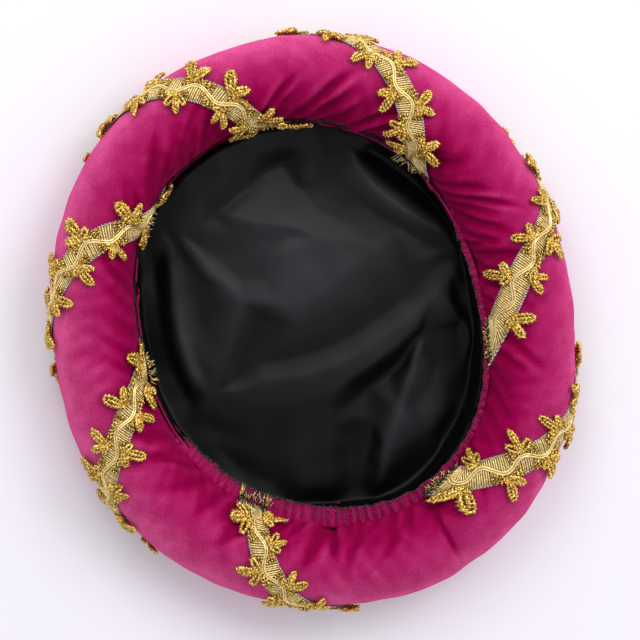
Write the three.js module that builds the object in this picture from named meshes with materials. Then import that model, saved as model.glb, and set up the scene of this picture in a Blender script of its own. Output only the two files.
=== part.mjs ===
// A padded roll hat: a stuffed velvet ring sewn round a soft lined crown, with seven gold trims
// wound across the ring. It lies crown down, so its head opening faces up.
// Millimetres, Z up, the surface that it lies on at Z = 0, and the middle of its outline at X = Y = 0.
// Azimuths are degrees round the ring from +X. Section angles are degrees round the stuffed tube:
// 0 at the outside, 90 on top, 180 at the head opening and -90 underneath.
import * as THREE from "three";

// Space left between pieces that touch
const GAP = 0.5;

// Stuffed roll
const ROLL_LENGTH = 284;
const ROLL_WIDTH = 258;
const ROLL_TURN = 104.7; // azimuth of the oval's length
const ROLL_THICK = 44; // across the stuffed tube
const ROLL_HEIGHT = 42; // over the pressed underside
const PRESSED_SHARE = 0.12; // of the tube's half height, flat where the hat rests
const GATHER_DEPTH = 3; // of the deepest gather

// Oval's departures: outer is a share of the plain oval's radius, thick a share of ROLL_THICK
const ROLL_STATIONS = [
  { azimuth: 0, outer: 0.993, thick: 1.05 },
  { azimuth: 30, outer: 0.995, thick: 1.02 },
  { azimuth: 60, outer: 1.005, thick: 0.97 },
  { azimuth: 90, outer: 0.997, thick: 0.94 },
  { azimuth: 120, outer: 1.0, thick: 0.91 },
  { azimuth: 150, outer: 1.017, thick: 0.89 },
  { azimuth: 180, outer: 1.003, thick: 0.93 },
  { azimuth: 210, outer: 1.027, thick: 0.99 },
  { azimuth: 240, outer: 1.026, thick: 1.02 },
  { azimuth: 270, outer: 1.006, thick: 1.01 },
  { azimuth: 300, outer: 1.03, thick: 1.05 },
  { azimuth: 330, outer: 1.032, thick: 1.09 },
];

// Gathers that run from the seam over the roll: width in degrees of azimuth, depth a share of
// GATHER_DEPTH, fade the section angle where a gather dies out
const GATHERS = [
  { azimuth: 19, width: 4, depth: 0.5, fade: 70 },
  { azimuth: 38, width: 5, depth: 0.7, fade: 60 },
  { azimuth: 55, width: 4, depth: 0.6, fade: 65 },
  { azimuth: 75, width: 5, depth: 1.0, fade: 30 },
  { azimuth: 88, width: 4, depth: 0.7, fade: 70 },
  { azimuth: 98, width: 4, depth: 0.8, fade: 60 },
  { azimuth: 110, width: 4, depth: 0.7, fade: 75 },
  { azimuth: 122, width: 4, depth: 0.9, fade: 60 },
  { azimuth: 136, width: 4, depth: 0.6, fade: 70 },
  { azimuth: 168, width: 5, depth: 0.5, fade: 80 },
  { azimuth: 200, width: 5, depth: 0.4, fade: 80 },
  { azimuth: 228, width: 5, depth: 0.5, fade: 70 },
  { azimuth: 274, width: 4, depth: 0.9, fade: 20 },
  { azimuth: 301, width: 4, depth: 0.8, fade: -40 }, // where the tube's ends are sewn together
  { azimuth: 340, width: 5, depth: 0.4, fade: 80 },
];
const GATHER_START = 150; // section angle where a gather is deepest
const GATHER_EASE = 0.65; // share of its depth that a gather loses at the head opening

// Overlocked seam edge round the head opening
const EDGE_WIDTH = 6.5;
const EDGE_THICK = 2;

// Seam line: section is where it lies on the roll, lean how far the edge points up (minus is down)
const SEAM_STATIONS = [
  { azimuth: -50, section: 155, lean: 25 },
  { azimuth: -5, section: 160, lean: 5 },
  { azimuth: 40, section: 176, lean: -50 },
  { azimuth: 85, section: 193, lean: -82 },
  { azimuth: 130, section: 200, lean: -88 },
  { azimuth: 175, section: 194, lean: -84 },
  { azimuth: 220, section: 178, lean: -45 },
  { azimuth: 265, section: 160, lean: 0 },
];

// Crown cloth and its lining
const CROWN_THICK = 1.5;
const LINING_THICK = 1;
const CROWN_CORNER = 18; // how far the wall takes to turn into the floor
const PLEAT_COUNT = 12; // soft pleats down the wall
const PLEAT_DEPTH = 1.5;
const FOLD_HEIGHT = 14; // of the lining's highest fold
const FOLD_WIDTH = 13; // half width of a fold at its foot

// Lining's folds: each runs through x and y, shares of half the opening's width and length
const FOLDS = [
  { height: 0.7, width: 0.8, way: [[-0.91, 0.54], [-0.81, 0.16], [-0.74, -0.14], [-0.58, -0.38]] },
  { height: 0.9, width: 0.8, way: [[-0.88, 0.55], [-0.54, 0.19], [-0.1, 0.11], [0.13, 0.26], [0.31, 0.49]] },
  { height: 0.6, width: 0.8, way: [[-0.58, -0.38], [-0.45, -0.09], [-0.39, 0.06]] },
  {
    height: 1.0,
    width: 1.0,
    way: [[-0.58, -0.38], [-0.21, -0.42], [0.31, -0.24], [0.72, 0.16], [0.89, 0.41]],
  },
  { height: 0.8, width: 0.8, way: [[0.63, -0.04], [0.77, -0.39], [0.48, -0.8], [0.4, -0.9]] },
  { height: 0.7, width: 0.7, way: [[0.22, 1.02], [0.28, 0.87], [0.48, 0.67], [0.77, 0.54]] },
];

// Gold trims
const TRIM_THICK = 1.8;
const BRAID_WIDTH = 11.5;
const LEAF_REACH = 9; // of a leaf spray past the braid
const TRIM_REPEAT = 22; // from one pair of leaf sprays to the next
const TRIM_END_SECTION = -130; // where a trim ends under the roll
const TRIM_RETURN = 32; // azimuth that a trim gains from the outside to its end
const LEAF_SHARES = [1, 0.55, 0.2, 0.55]; // of LEAF_REACH, at equal steps along one repeat

// Where each trim crosses the seam, the top of the roll and its outside
const TRIMS = [
  { name: "trim_1", seam: 101.5, top: 114.3, outside: 128.5 },
  { name: "trim_2", seam: 60, top: 69, outside: 84 },
  { name: "trim_3", seam: -7, top: 15.5, outside: 29 },
  { name: "trim_4", seam: -54, top: -36.3, outside: -18 },
  { name: "trim_5", seam: -110, top: -103.3, outside: -90 },
  { name: "trim_6", seam: -165, top: -151.2, outside: -137.5 },
  { name: "trim_7", seam: 146.5, top: 158.7, outside: 177 },
];
const TRIM_SECTIONS = { seam: 155, top: 90, outside: 10 };

// Fineness of the faceted solids
const ROLL_STEPS_ROUND = 84;
const ROLL_STEPS_SECTION = 22;
const EDGE_STEPS_ROUND = 60;
const CROWN_STEPS_ROUND = 48;
const WALL_STEPS = 5;
const CROWN_FLOOR_SHARES = [0.5];
const LINING_FLOOR_SHARES = [0.87, 0.74, 0.61, 0.48, 0.35, 0.18];
const ROUTE_SAMPLES = 60;

const FULL_TURN = 360;
const radians = THREE.MathUtils.degToRad;
const degrees = THREE.MathUtils.radToDeg;
const mix = THREE.MathUtils.lerp;

const VELVET = new THREE.MeshStandardMaterial({ color: 0xaf3570, roughness: 0.95, metalness: 0 });
const SATIN = new THREE.MeshStandardMaterial({ color: 0x1d1c20, roughness: 0.45, metalness: 0 });
const OVERLOCK = new THREE.MeshStandardMaterial({ color: 0x5e1438, roughness: 0.9, metalness: 0 });
const GOLD = new THREE.MeshStandardMaterial({ color: 0xc09a5c, roughness: 0.4, metalness: 0.6 });

// Smooth curve through values at places, read at one place
function curveThrough(places, values, place) {
  const last = places.length - 1;
  let k = 0;
  while (k < last - 1 && place > places[k + 1]) {
    k += 1;
  }
  const slope = (i) => {
    const before = Math.max(i - 1, 0);
    const after = Math.min(i + 1, last);
    return (values[after] - values[before]) / (places[after] - places[before]);
  };
  const span = places[k + 1] - places[k];
  const rise = values[k + 1] - values[k];
  const start = slope(k) * span;
  const end = slope(k + 1) * span;
  const t = (place - places[k]) / span;
  return values[k] + t * (start + t * (3 * rise - 2 * start - end + t * (start + end - 2 * rise)));
}

// Value of a table's column at an azimuth, the table going all the way round
function around(table, column, azimuth) {
  const first = table[0].azimuth;
  const turned = first + ((((azimuth - first) % FULL_TURN) + FULL_TURN) % FULL_TURN);
  const rows = [-1, 0, 1].flatMap((turn) =>
    table.map((row) => [row.azimuth + turn * FULL_TURN, row[column]]),
  );
  return curveThrough(rows.map((row) => row[0]), rows.map((row) => row[1]), turned);
}

// Shortest way round from one azimuth to another
function turnBetween(from, to) {
  return ((((to - from) % FULL_TURN) + 1.5 * FULL_TURN) % FULL_TURN) - 0.5 * FULL_TURN;
}

// Heights that the roll's section is set out from
const ROLL_UNDERSIDE = TRIM_THICK + GAP;
const HALF_HEIGHT = ROLL_HEIGHT / (2 - PRESSED_SHARE);
const ROLL_MIDDLE = ROLL_UNDERSIDE + HALF_HEIGHT * (1 - PRESSED_SHARE);

// Stuffed tube at one azimuth: its outer radius, its half width and the radius of its middle
function tubeAt(azimuth) {
  const halfLength = ROLL_LENGTH / 2;
  const halfWidth = ROLL_WIDTH / 2;
  const fromLength = radians(azimuth - ROLL_TURN);
  const oval =
    (halfLength * halfWidth) /
    Math.hypot(halfWidth * Math.cos(fromLength), halfLength * Math.sin(fromLength));
  const outer = oval * around(ROLL_STATIONS, "outer", azimuth);
  const half = (ROLL_THICK / 2) * around(ROLL_STATIONS, "thick", azimuth);
  return { outer, half, middle: outer - half, inner: outer - 2 * half };
}

// Point of the roll without its gathers, lifted off it along the normal: radius r and height z
function rollPoint(azimuth, section, lift) {
  const tube = tubeAt(azimuth);
  const across = Math.cos(radians(section));
  const up = Math.sin(radians(section));
  const normal = new THREE.Vector2(across / tube.half, up / HALF_HEIGHT).normalize();
  const pressed = up < PRESSED_SHARE - 1;
  if (pressed) {
    return { r: tube.middle + tube.half * across, z: ROLL_UNDERSIDE - lift };
  }
  const z = ROLL_MIDDLE + HALF_HEIGHT * up + lift * normal.y;
  return { r: tube.middle + tube.half * across + lift * normal.x, z: Math.max(z, ROLL_UNDERSIDE - lift) };
}

// Depth of the gathers at one place on the roll
function gatherDepth(azimuth, section) {
  let depth = 0;
  for (const gather of GATHERS) {
    const off = turnBetween(gather.azimuth, azimuth) / gather.width;
    const wrapped = section < -90 ? section + FULL_TURN : section;
    const held = THREE.MathUtils.smoothstep(wrapped, gather.fade, GATHER_START);
    const eased = 1 - GATHER_EASE * THREE.MathUtils.smoothstep(wrapped, GATHER_START, FULL_TURN / 2);
    depth += GATHER_DEPTH * gather.depth * held * eased * Math.exp(-off * off);
  }
  return depth;
}

// Place in space of an azimuth, a radius and a height
function place(azimuth, { r, z }) {
  return [r * Math.cos(radians(azimuth)), r * Math.sin(radians(azimuth)), z];
}

// Closed mesh from vertices and faces of three or four corners, facing out
function solid(points, faces) {
  const geometry = new THREE.BufferGeometry();
  geometry.setAttribute("position", new THREE.Float32BufferAttribute(points.flat(), 3));
  const triangles = faces.flatMap(([a, b, c, d]) => (d === undefined ? [a, b, c] : [a, b, c, a, c, d]));
  geometry.setIndex(triangles);
  geometry.computeVertexNormals();
  return geometry;
}

// Faces between neighbouring loops of one size, each loop closed on itself
function bands(loops, size, joined) {
  const faces = [];
  const count = joined ? loops : loops - 1;
  for (let i = 0; i < count; i += 1) {
    for (let j = 0; j < size; j += 1) {
      const next = (i + 1) % loops;
      const side = (j + 1) % size;
      faces.push([i * size + j, next * size + j, next * size + side, i * size + side]);
    }
  }
  return faces;
}

// Roll with its gathers
function rollGeometry() {
  const points = [];
  for (let i = 0; i < ROLL_STEPS_ROUND; i += 1) {
    const azimuth = (i * FULL_TURN) / ROLL_STEPS_ROUND;
    const tube = tubeAt(azimuth);
    for (let j = 0; j < ROLL_STEPS_SECTION; j += 1) {
      const section = (j * FULL_TURN) / ROLL_STEPS_SECTION - FULL_TURN / 4;
      const depth = gatherDepth(azimuth, section);
      const r = tube.middle + (tube.half - depth) * Math.cos(radians(section));
      const z = ROLL_MIDDLE + (HALF_HEIGHT - depth) * Math.sin(radians(section));
      points.push(place(azimuth, { r, z: Math.max(z, ROLL_UNDERSIDE) }));
    }
  }
  return solid(points, bands(ROLL_STEPS_ROUND, ROLL_STEPS_SECTION, true));
}

// Seam edge at one azimuth: its root on the roll, its tip and the way it leans
function seamEdgeAt(azimuth) {
  const section = around(SEAM_STATIONS, "section", azimuth);
  const lean = radians(around(SEAM_STATIONS, "lean", azimuth));
  const tube = tubeAt(azimuth);
  const facing = Math.atan2(
    Math.sin(radians(section)) / HALF_HEIGHT,
    -Math.cos(radians(section)) / tube.half,
  );
  const lift = GAP + (EDGE_THICK / 2) * Math.abs(Math.sin(lean - facing));
  const root = rollPoint(azimuth, section, lift);
  const tip = { r: root.r - EDGE_WIDTH * Math.cos(lean), z: root.z + EDGE_WIDTH * Math.sin(lean) };
  return { lean, root, tip };
}

function seamEdgeGeometry() {
  const loops = [];
  for (let i = 0; i < EDGE_STEPS_ROUND; i += 1) {
    const azimuth = (i * FULL_TURN) / EDGE_STEPS_ROUND;
    const { lean, root, tip } = seamEdgeAt(azimuth);
    const side = { r: (EDGE_THICK / 2) * Math.sin(lean), z: (EDGE_THICK / 2) * Math.cos(lean) };
    loops.push([
      place(azimuth, { r: root.r + side.r, z: root.z + side.z }),
      place(azimuth, { r: tip.r + side.r, z: tip.z + side.z }),
      place(azimuth, { r: tip.r - side.r, z: tip.z - side.z }),
      place(azimuth, { r: root.r - side.r, z: root.z - side.z }),
    ]);
  }
  return solid(loops.flat(), bands(EDGE_STEPS_ROUND, loops[0].length, true));
}

// Bowl of the crown's outer face at one azimuth: the wall hangs from the seam and turns into the floor
function crownWallAt(azimuth) {
  const { lean, root, tip } = seamEdgeAt(azimuth);
  const rim = Math.min(root.z, tip.z) - (EDGE_THICK / 2) * Math.cos(lean) - GAP;
  const pleat = PLEAT_DEPTH * (0.5 - 0.5 * Math.cos(radians(PLEAT_COUNT * azimuth)));
  const top = tubeAt(azimuth).inner - GAP;
  const foot = top - CROWN_CORNER;
  return new THREE.QuadraticBezierCurve(
    new THREE.Vector2(top - pleat, rim),
    new THREE.Vector2(top - pleat, 0),
    new THREE.Vector2(foot, 0),
  );
}

// Height that the lining's folds add at a place in plan
const OPENING_HALF_WIDTH = ROLL_WIDTH / 2 - ROLL_THICK;
const OPENING_HALF_LENGTH = ROLL_LENGTH / 2 - ROLL_THICK;
function foldHeight(x, y) {
  const here = new THREE.Vector3(x, y, 0);
  let height = 0;
  for (const fold of FOLDS) {
    const way = fold.way.map(
      ([across, along]) => new THREE.Vector3(across * OPENING_HALF_WIDTH, along * OPENING_HALF_LENGTH, 0),
    );
    for (let i = 0; i + 1 < way.length; i += 1) {
      const ridge = new THREE.Line3(way[i], way[i + 1]);
      const nearest = ridge.closestPointToPoint(here, true, new THREE.Vector3());
      const off = nearest.distanceTo(here) / (FOLD_WIDTH * fold.width);
      height = Math.max(height, FOLD_HEIGHT * fold.height * Math.exp(-off * off));
    }
  }
  return height;
}

// Cloth bowl that lies inset from the crown's outer face, with or without the lining's folds
function bowlGeometry(inset, thick, floorShares, folded) {
  const lower = [];
  const upper = [];
  for (let i = 0; i < CROWN_STEPS_ROUND; i += 1) {
    const azimuth = (i * FULL_TURN) / CROWN_STEPS_ROUND;
    const wall = crownWallAt(azimuth);
    const foot = wall.v2.x;
    const stations = [];
    for (let k = 0; k <= WALL_STEPS; k += 1) {
      const t = k / WALL_STEPS;
      const at = wall.getPoint(t);
      const tangent = wall.getTangent(t);
      stations.push({ r: at.x, z: at.y, inward: tangent.y, upward: -tangent.x, free: t });
    }
    for (const share of floorShares) {
      stations.push({ r: foot * share, z: 0, inward: 0, upward: 1, free: 1 });
    }
    const faceAt = (station, offset) => {
      const r = station.r + offset * station.inward;
      const [x, y] = place(azimuth, { r, z: 0 });
      const raised = folded ? station.free * foldHeight(x, y) : 0;
      return [x, y, station.z + offset * station.upward + raised];
    };
    lower.push(stations.map((station) => faceAt(station, inset)).reverse());
    upper.push(stations.map((station) => faceAt(station, inset + thick)));
  }
  const middleHeight = folded ? foldHeight(0, 0) : 0;
  const loops = lower.map((face, i) => [...face, ...upper[i]]);
  const size = loops[0].length;
  const points = loops.flat();
  const under = points.push([0, 0, inset + middleHeight]) - 1;
  const over = points.push([0, 0, inset + thick + middleHeight]) - 1;
  const faces = [];
  for (let i = 0; i < CROWN_STEPS_ROUND; i += 1) {
    const next = (i + 1) % CROWN_STEPS_ROUND;
    for (let j = 0; j + 1 < size; j += 1) {
      faces.push([i * size + j, next * size + j, next * size + j + 1, i * size + j + 1]);
    }
    faces.push([under, next * size, i * size]);
    faces.push([over, i * size + size - 1, next * size + size - 1]);
  }
  return solid(points, faces);
}

// Trim wound over the roll from the seam to its end underneath, its leaf sprays as scallops
function trimGeometry(trim) {
  const sections = [TRIM_END_SECTION, TRIM_SECTIONS.outside, TRIM_SECTIONS.top, TRIM_SECTIONS.seam];
  const azimuths = [trim.outside + TRIM_RETURN, trim.outside, trim.top, trim.seam];
  const middleAt = (section) => curveThrough(sections, azimuths, section);
  const seamClearance = degrees((EDGE_THICK / 2 + 2 * GAP) / (ROLL_THICK / 2));
  const startAt = (azimuth) => around(SEAM_STATIONS, "section", azimuth) - seamClearance;
  const start = startAt(trim.seam);

  // Length along the roll, and so how many repeats the trim has
  const way = [];
  for (let k = 0; k <= ROUTE_SAMPLES; k += 1) {
    const section = mix(start, TRIM_END_SECTION, k / ROUTE_SAMPLES);
    way.push(new THREE.Vector3(...place(middleAt(section), rollPoint(middleAt(section), section, GAP))));
  }
  const route = new THREE.CatmullRomCurve3(way);
  const rows = LEAF_SHARES.length * Math.round(route.getLength() / TRIM_REPEAT);

  const points = [];
  for (let i = 0; i <= rows; i += 1) {
    const travelled = route.getUtoTmapping(i / rows);
    const section = mix(start, TRIM_END_SECTION, travelled);
    const azimuth = middleAt(section);
    const ring = radians(rollPoint(azimuth, section, GAP).r);
    const tangent = route.getTangent(travelled);
    const alongRing = new THREE.Vector3(-Math.sin(radians(azimuth)), Math.cos(radians(azimuth)), 0);
    const slant = Math.sqrt(1 - tangent.dot(alongRing) ** 2);
    const side = BRAID_WIDTH / 2;
    const left = side + LEAF_REACH * LEAF_SHARES[i % LEAF_SHARES.length];
    const right = side + LEAF_REACH * LEAF_SHARES[(i + 1) % LEAF_SHARES.length];
    const offsets = [-left, -side, side, right];
    const row = offsets.map((offset) => {
      const at = azimuth + offset / slant / ring;
      return { at, section: mix(startAt(at), TRIM_END_SECTION, travelled) };
    });
    row.forEach((p) => points.push(place(p.at, rollPoint(p.at, p.section, GAP + TRIM_THICK))));
    row.reverse().forEach((p) => points.push(place(p.at, rollPoint(p.at, p.section, GAP))));
  }
  const size = points.length / (rows + 1);
  const faces = bands(rows + 1, size, false);
  const last = rows * size;
  for (let j = 0; j + 1 < size / 2; j += 1) {
    faces.push([j, j + 1, size - 2 - j, size - 1 - j]);
    faces.push([last + size - 1 - j, last + size - 2 - j, last + j + 1, last + j]);
  }
  return solid(points, faces);
}

// Whole hat
const hat = new THREE.Group();
function add(name, geometry, material) {
  const mesh = new THREE.Mesh(geometry, material);
  mesh.name = name;
  hat.add(mesh);
}
const liningInset = CROWN_THICK + GAP;
add("roll", rollGeometry(), VELVET);
add("crown", bowlGeometry(0, CROWN_THICK, CROWN_FLOOR_SHARES, false), VELVET);
add("lining", bowlGeometry(liningInset, LINING_THICK, LINING_FLOOR_SHARES, true), SATIN);
add("seam_edge", seamEdgeGeometry(), OVERLOCK);
for (const trim of TRIMS) {
  add(trim.name, trimGeometry(trim), GOLD);
}

// The outline's middle goes to X = Y = 0
const outline = new THREE.Box3().setFromObject(hat).getCenter(new THREE.Vector3());
hat.position.set(-outline.x, -outline.y, 0);

export default hat;
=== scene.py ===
# %% [markdown]
# # A padded roll hat
# A stuffed velvet ring is sewn round a soft crown with a black satin lining, and seven gold trims are
# wound across the ring. The hat lies crown down, so we look into its head opening.
# The solid model gives every size. We load it first, and build each soft piece around it.

# %% Load the frame
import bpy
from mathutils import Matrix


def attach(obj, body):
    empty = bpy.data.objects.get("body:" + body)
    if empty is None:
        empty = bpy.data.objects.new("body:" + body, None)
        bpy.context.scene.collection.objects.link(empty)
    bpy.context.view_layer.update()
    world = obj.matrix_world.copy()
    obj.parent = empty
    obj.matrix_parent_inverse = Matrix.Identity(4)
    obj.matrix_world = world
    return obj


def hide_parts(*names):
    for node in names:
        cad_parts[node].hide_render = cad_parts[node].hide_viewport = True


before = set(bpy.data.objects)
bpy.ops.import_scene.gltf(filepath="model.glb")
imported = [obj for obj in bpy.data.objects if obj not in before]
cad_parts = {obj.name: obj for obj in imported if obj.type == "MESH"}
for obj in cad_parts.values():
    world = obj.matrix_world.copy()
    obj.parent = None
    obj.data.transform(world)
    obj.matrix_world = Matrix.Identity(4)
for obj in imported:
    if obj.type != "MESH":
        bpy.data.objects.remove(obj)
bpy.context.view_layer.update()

# %% Libraries
import math

import bpy
import numpy as np
from mathutils import Matrix, Vector, geometry

MM = 0.001

# %% [markdown]
# ## Numbers that the solid model and the looks share
# All lengths here are millimetres. Azimuths are degrees round the ring. Section angles are degrees
# round the stuffed tube: 0 outside, 90 on top, 180 at the head opening and -90 underneath.
# We repeat the solid model's values, so that each soft piece fills the space of its solid.

# %% Shared sizes
GAP = 0.5
ROLL_LENGTH, ROLL_WIDTH, ROLL_TURN = 284, 258, 104.7
ROLL_THICK, ROLL_HEIGHT, PRESSED_SHARE = 44, 42, 0.12
TRIM_THICK, BRAID_WIDTH = 1.8, 11.5
EDGE_WIDTH, EDGE_THICK = 6.5, 2
CROWN_THICK, CROWN_CORNER = 1.5, 8
PLEAT_COUNT, PLEAT_DEPTH = 12, 1.5
ROLL_UNDERSIDE = TRIM_THICK + GAP
HALF_HEIGHT = ROLL_HEIGHT / (2 - PRESSED_SHARE)
ROLL_MIDDLE = ROLL_UNDERSIDE + HALF_HEIGHT * (1 - PRESSED_SHARE)
RING_MIDDLE = np.array([0.33, 0.68, 0.0])  # where the ring's own middle lies in the frame

# %% Tables of the ring and its seam
ROLL_TABLE = {
    "azimuth": [0, 30, 60, 90, 120, 150, 180, 210, 240, 270, 300, 330],
    "outer": [0.993, 0.995, 1.005, 0.997, 1.0, 1.017, 1.003, 1.027, 1.026, 1.006, 1.03, 1.032],
    "thick": [1.05, 1.02, 0.97, 0.94, 0.91, 0.89, 0.93, 0.99, 1.02, 1.01, 1.05, 1.09],
}
SEAM_TABLE = {
    "azimuth": [-50, -5, 40, 85, 130, 175, 220, 265],
    "section": [155, 160, 176, 193, 200, 194, 178, 160],
    "lean": [25, 5, -50, -82, -88, -84, -45, 0],
}


# %% Smooth curves through the tables
def curve_through(places, values, at):
    """A smooth curve through values at places, read at many places."""
    places, values, at = (np.asarray(a, float) for a in (places, values, at))
    last = len(places) - 1
    k = np.clip(np.searchsorted(places, at, side="left") - 1, 0, last - 1)
    numbers = np.arange(last + 1)
    before, after = np.maximum(numbers - 1, 0), np.minimum(numbers + 1, last)
    slopes = (values[after] - values[before]) / (places[after] - places[before])
    span, rise = places[k + 1] - places[k], values[k + 1] - values[k]
    start, end, t = slopes[k] * span, slopes[k + 1] * span, (at - places[k]) / span
    return values[k] + t * (start + t * (3 * rise - 2 * start - end + t * (start + end - 2 * rise)))


def around(table, column, azimuth):
    """A table's column at azimuths, the table going all the way round."""
    places, values = np.array(table["azimuth"], float), np.array(table[column], float)
    turned = places[0] + np.mod(np.asarray(azimuth, float) - places[0], 360)
    return curve_through(np.concatenate([places - 360, places, places + 360]), np.tile(values, 3), turned)


def smoothstep(value, low, high):
    """0 below low, 1 above high and a soft way between them."""
    t = np.clip((value - low) / (high - low), 0, 1)
    return t * t * (3 - 2 * t)


def turn_between(start, end):
    """Degrees from one azimuth to another, the short way round."""
    return np.mod(end - start + 180, 360) - 180


def near(azimuth, place, width, power=2):
    """1 at a place on the ring, fading out about a width in degrees to both sides."""
    return np.exp(-(turn_between(place, azimuth) / width) ** power)


def from_underside(section):
    """Section angles from -90 to 270, so that they run on over the head opening's side."""
    return np.where(section < -90, section + 360, section)


# %% The ring's surface
def tube_at(azimuth):
    """Half width of the stuffed tube and the radius of its middle."""
    half_length, half_width = ROLL_LENGTH / 2, ROLL_WIDTH / 2
    q = np.radians(azimuth - ROLL_TURN)
    oval = half_length * half_width / np.hypot(half_width * np.cos(q), half_length * np.sin(q))
    outer = oval * around(ROLL_TABLE, "outer", azimuth)
    half = ROLL_THICK / 2 * around(ROLL_TABLE, "thick", azimuth)
    return half, outer - half


def roll_point(azimuth, section, lift):
    """Radius and height on the smooth ring, lifted off it along the normal."""
    half, middle = tube_at(azimuth)
    across, up = np.cos(np.radians(section)), np.sin(np.radians(section))
    nx, nz = across / half, up / HALF_HEIGHT
    size = np.hypot(nx, nz)
    r = middle + half * across + lift * nx / size
    z = np.maximum(ROLL_MIDDLE + HALF_HEIGHT * up + lift * nz / size, ROLL_UNDERSIDE - lift)
    pressed = up < PRESSED_SHARE - 1
    return np.where(pressed, middle + half * across, r), np.where(pressed, ROLL_UNDERSIDE - lift, z)


def in_space(azimuth, r, z):
    """Points in the frame, in millimetres."""
    a = np.radians(azimuth)
    return np.stack([r * np.cos(a), r * np.sin(a), z + 0 * a], axis=-1) + RING_MIDDLE


def seam_edge_at(azimuth):
    """Root and tip of the seam edge, and the way it leans."""
    section, lean = around(SEAM_TABLE, "section", azimuth), np.radians(around(SEAM_TABLE, "lean", azimuth))
    half, _ = tube_at(azimuth)
    facing = np.arctan2(np.sin(np.radians(section)) / HALF_HEIGHT, -np.cos(np.radians(section)) / half)
    r, z = roll_point(azimuth, section, GAP + EDGE_THICK / 2 * np.abs(np.sin(lean - facing)))
    return r, z, r - EDGE_WIDTH * np.cos(lean), z + EDGE_WIDTH * np.sin(lean), lean


# %% [markdown]
# ## Helpers for meshes
# An operator works on all that is selected, and the loaded solids are selected, so we always deselect
# first. Points are moved by number with numpy, which is quick and gives the same result each time.

# %% Mesh helpers
RNG = np.random.default_rng(7)


def select_only(piece):
    bpy.ops.object.select_all(action="DESELECT")
    piece.select_set(True)
    bpy.context.view_layer.objects.active = piece


def points_of(piece):
    co = np.zeros(len(piece.data.vertices) * 3)
    piece.data.vertices.foreach_get("co", co)
    return co.reshape(-1, 3)


def move_points(piece, points_mm):
    """Puts a piece's points at places in millimetres, and its object at the origin."""
    piece.location, piece.rotation_euler, piece.scale = (0, 0, 0), (0, 0, 0), (1, 1, 1)
    piece.data.vertices.foreach_set("co", (np.asarray(points_mm) * MM).astype(np.float32).ravel())
    piece.data.update()


def facing_out(piece):
    select_only(piece)
    bpy.ops.object.mode_set(mode="EDIT")
    bpy.ops.mesh.select_all(action="SELECT")
    bpy.ops.mesh.normals_make_consistent(inside=False)
    bpy.ops.object.mode_set(mode="OBJECT")


def smooth_shading(piece):
    piece.data.polygons.foreach_set("use_smooth", [True] * len(piece.data.polygons))
    piece.data.update()


def dressed(piece, material):
    """Turn the faces outward, shade them smooth and give the piece its one material."""
    facing_out(piece)
    smooth_shading(piece)
    piece.data.materials.clear()
    piece.data.materials.append(material)


def apply_modifier(piece, kind, **settings):
    select_only(piece)
    modifier = piece.modifiers.new(kind.title(), kind)
    for key, value in settings.items():
        setattr(modifier, key, value)
    bpy.ops.object.modifier_apply(modifier=modifier.name)


def piece_from(name, points_mm, faces, materials, face_materials):
    """A mesh piece from points, faces and the number of each face's material."""
    mesh = bpy.data.meshes.new(name)
    mesh.from_pydata((np.asarray(points_mm) * MM).tolist(), [], faces)
    piece = bpy.data.objects.new(name, mesh)
    bpy.context.collection.objects.link(piece)
    for material in materials:
        mesh.materials.append(material)
    mesh.polygons.foreach_set("material_index", np.asarray(face_materials, np.int32))
    facing_out(piece)
    smooth_shading(piece)
    return piece


# %% A torus to start a ring from
TORUS_CUTS = 2  # which leaves three parts of each


def new_torus(name, ring_radius, tube_radius, ring_parts, tube_parts):
    """A torus, and each point's azimuth in degrees and section angle in radians.

    Blender makes a torus with at most 256 parts round, so we cut its faces into smaller ones.
    """
    bpy.ops.object.select_all(action="DESELECT")
    bpy.ops.mesh.primitive_torus_add(
        major_radius=ring_radius,
        minor_radius=tube_radius,
        major_segments=ring_parts,
        minor_segments=tube_parts,
    )
    piece = bpy.context.object
    piece.name = name
    bpy.ops.object.mode_set(mode="EDIT")
    bpy.ops.mesh.select_all(action="SELECT")
    bpy.ops.mesh.subdivide(number_cuts=TORUS_CUTS)
    bpy.ops.object.mode_set(mode="OBJECT")
    points = points_of(piece)
    section = np.arctan2(points[:, 2], np.hypot(points[:, 0], points[:, 1]) - ring_radius)
    return piece, np.degrees(np.arctan2(points[:, 1], points[:, 0])), section


# %% [markdown]
# ## Smooth random waves
# Cloth is never quite even. A sum of a few sine waves with random directions gives soft lumps that
# are the same in each run, and that close on themselves where the wave counts are whole numbers.

# %% Soft lumps round the ring
def lumps(azimuth, section, around_count, section_count, waves, rng):
    """Waves with at most around_count crests round the ring and section_count round its tube."""
    total = np.zeros(np.broadcast(azimuth, section).shape)
    for _ in range(waves):
        turns = int(rng.integers(around_count // 2, around_count + 1))
        wraps = int(rng.integers(0, section_count + 1)) * int(rng.choice([-1, 1]))
        total = total + np.sin(np.radians(turns * azimuth + wraps * section) + rng.uniform(0, 2 * math.pi))
    return total / math.sqrt(waves)


# %% [markdown]
# ## Materials: a few building blocks
# Each finish is made of nodes on Object coordinates, so it sits still on the piece from every side.
# `speckle` gives noise, `arithmetic` works with values, `tone` turns a value into a colour between its
# stops, and `bumped` raises the surface a little by a value.

# %% Material helpers
def new_material(name):
    material = bpy.data.materials.new(name)
    material.use_nodes = True
    nodes = material.node_tree.nodes
    return material, nodes, material.node_tree.links, nodes["Principled BSDF"]


def object_place(nodes):
    found = [n for n in nodes if n.type == "TEX_COORD"]
    return (found[0] if found else nodes.new("ShaderNodeTexCoord")).outputs["Object"]


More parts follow.
